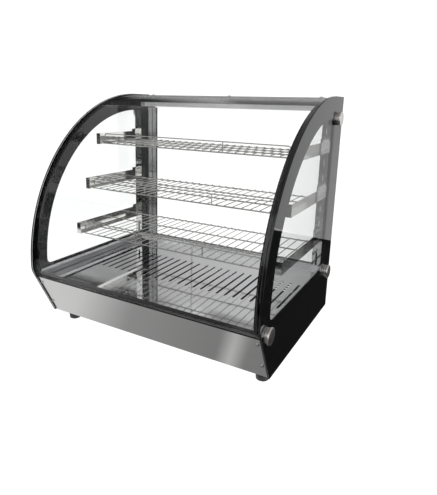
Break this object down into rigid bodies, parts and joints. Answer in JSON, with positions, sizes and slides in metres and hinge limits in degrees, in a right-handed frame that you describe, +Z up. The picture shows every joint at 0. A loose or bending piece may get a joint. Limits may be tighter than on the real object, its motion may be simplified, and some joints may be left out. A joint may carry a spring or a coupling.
{
  "type": "countertop heated food display case",
  "caption": "Curved-glass countertop hot food display case with wire shelves, a slotted heated deck, sliding rear doors and a water drawer.",
  "frame": {"origin": "on the counter, under the middle of the case", "axes": "+X to the viewer's right, +Y from the curved front glass to the serving side, +Z up"},
  "size_m": [0.724, 0.58, 0.678],
  "materials": {
    "side_glass": "toughened glass, black ceramic print round the window",
    "front_glass": "toughened glass, black ceramic print on its border",
    "door_glass": "clear toughened glass",
    "rubber": "black rubber",
    "foot_rubber": "black rubber foot",
    "cap_steel": "turned and brushed stainless steel",
    "brushed_steel": "brushed stainless sheet",
    "deck_steel": "bright polished stainless sheet",
    "sheet_steel": "plain stainless sheet",
    "pillar_steel": "polished stainless channel",
    "beam_steel": "stainless channel",
    "diffuser": "opal lamp cover",
    "lamp_base": "folded aluminium strip",
    "led_board": "white circuit board with lamps",
    "track_aluminium": "anodised extrusion",
    "stile_aluminium": "anodised extrusion",
    "black_plastic": "black moulded plastic",
    "switch_plastic": "black moulded plastic",
    "rocker_plastic": "glossy black rocker",
    "pilot_lens": "orange lens",
    "terminal_plastic": "ceramic white terminal block",
    "element_steel": "dull steel sheath",
    "screw_steel": "plain steel screws",
    "shelf_chrome": "chromed wire",
    "bracket_steel": "folded stainless sheet"
  },
  "bodies": {
    "case": {"beam_screws": "screw_steel", "bracket_bottom_left": "bracket_steel", "bracket_bottom_right": "bracket_steel", "bracket_middle_left": "bracket_steel", "bracket_middle_right": "bracket_steel", "bracket_top_left": "bracket_steel", "bracket_top_right": "bracket_steel", "cap_nuts": "screw_steel", "chassis": "sheet_steel", "cord_gland": "black_plastic", "cross_member": "sheet_steel", "deck": "deck_steel", "deck_trim_left": "brushed_steel", "deck_trim_right": "brushed_steel", "drawer_runners": "sheet_steel", "element_supports": "sheet_steel", "fascia": "brushed_steel", "fascia_screws": "screw_steel", "feet": "foot_rubber", "front_glass": "front_glass", "glass_gasket": "rubber", "glass_washers": "rubber", "heating_element": "element_steel", "lamp_base": "lamp_base", "lamp_diffuser": "diffuser", "led_strip": "led_board", "light_switch": "switch_plastic", "panel_screws": "screw_steel", "pillar_left": "pillar_steel", "pillar_right": "pillar_steel", "pillar_screws": "screw_steel", "pilot_lamp": "pilot_lens", "power_switch": "switch_plastic", "rear_panel": "brushed_steel", "side_caps_left": "cap_steel", "side_caps_right": "cap_steel", "side_glass_left": "side_glass", "side_glass_right": "side_glass", "terminal_block": "terminal_plastic", "thermostat": "switch_plastic", "top_beam": "beam_steel", "track_bottom": "track_aluminium", "track_top": "track_aluminium"},
    "door_left_body": {"door_left": "door_glass", "door_stile_left": "stile_aluminium"},
    "door_right_body": {"door_right": "door_glass", "door_stile_right": "stile_aluminium"},
    "shelf_top_body": {"shelf_top": "shelf_chrome"},
    "shelf_middle_body": {"shelf_middle": "shelf_chrome"},
    "shelf_bottom_body": {"shelf_bottom": "shelf_chrome"},
    "drawer_body": {"water_drawer": "brushed_steel"},
    "knob_body": {"thermostat_knob": "black_plastic"},
    "power_rocker_body": {"power_rocker": "rocker_plastic"},
    "light_rocker_body": {"light_rocker": "rocker_plastic"}
  },
  "joints": [
    {"name": "door_left_slide", "type": "slide", "parent": "case", "child": "door_left_body", "axis": [1, 0, 0], "range_m": [0, 0.294]},
    {"name": "door_right_slide", "type": "slide", "parent": "case", "child": "door_right_body", "axis": [-1, 0, 0], "range_m": [0, 0.294]},
    {"name": "shelf_top_lift", "type": "slide", "parent": "case", "child": "shelf_top_body", "axis": [0, 0, 1], "range_m": [0, 0.036]},
    {"name": "shelf_middle_lift", "type": "slide", "parent": "case", "child": "shelf_middle_body", "axis": [0, 0, 1], "range_m": [0, 0.036]},
    {"name": "shelf_bottom_lift", "type": "slide", "parent": "case", "child": "shelf_bottom_body", "axis": [0, 0, 1], "range_m": [0, 0.036]},
    {"name": "drawer_slide", "type": "slide", "parent": "case", "child": "drawer_body", "axis": [0, 1, 0], "range_m": [0, 0.34]},
    {"name": "knob_turn", "type": "hinge", "parent": "case", "child": "knob_body", "pos_m": [0.28, 0.28, 0.104], "axis": [0, -1, 0], "range_deg": [0, 270]},
    {"name": "power_rock", "type": "hinge", "parent": "case", "child": "power_rocker_body", "pos_m": [0.21, 0.268, 0.104], "axis": [1, 0, 0], "range_deg": [-10, 10]},
    {"name": "light_rock", "type": "hinge", "parent": "case", "child": "light_rocker_body", "pos_m": [0.17, 0.268, 0.104], "axis": [1, 0, 0], "range_deg": [-10, 10]}
  ]
}
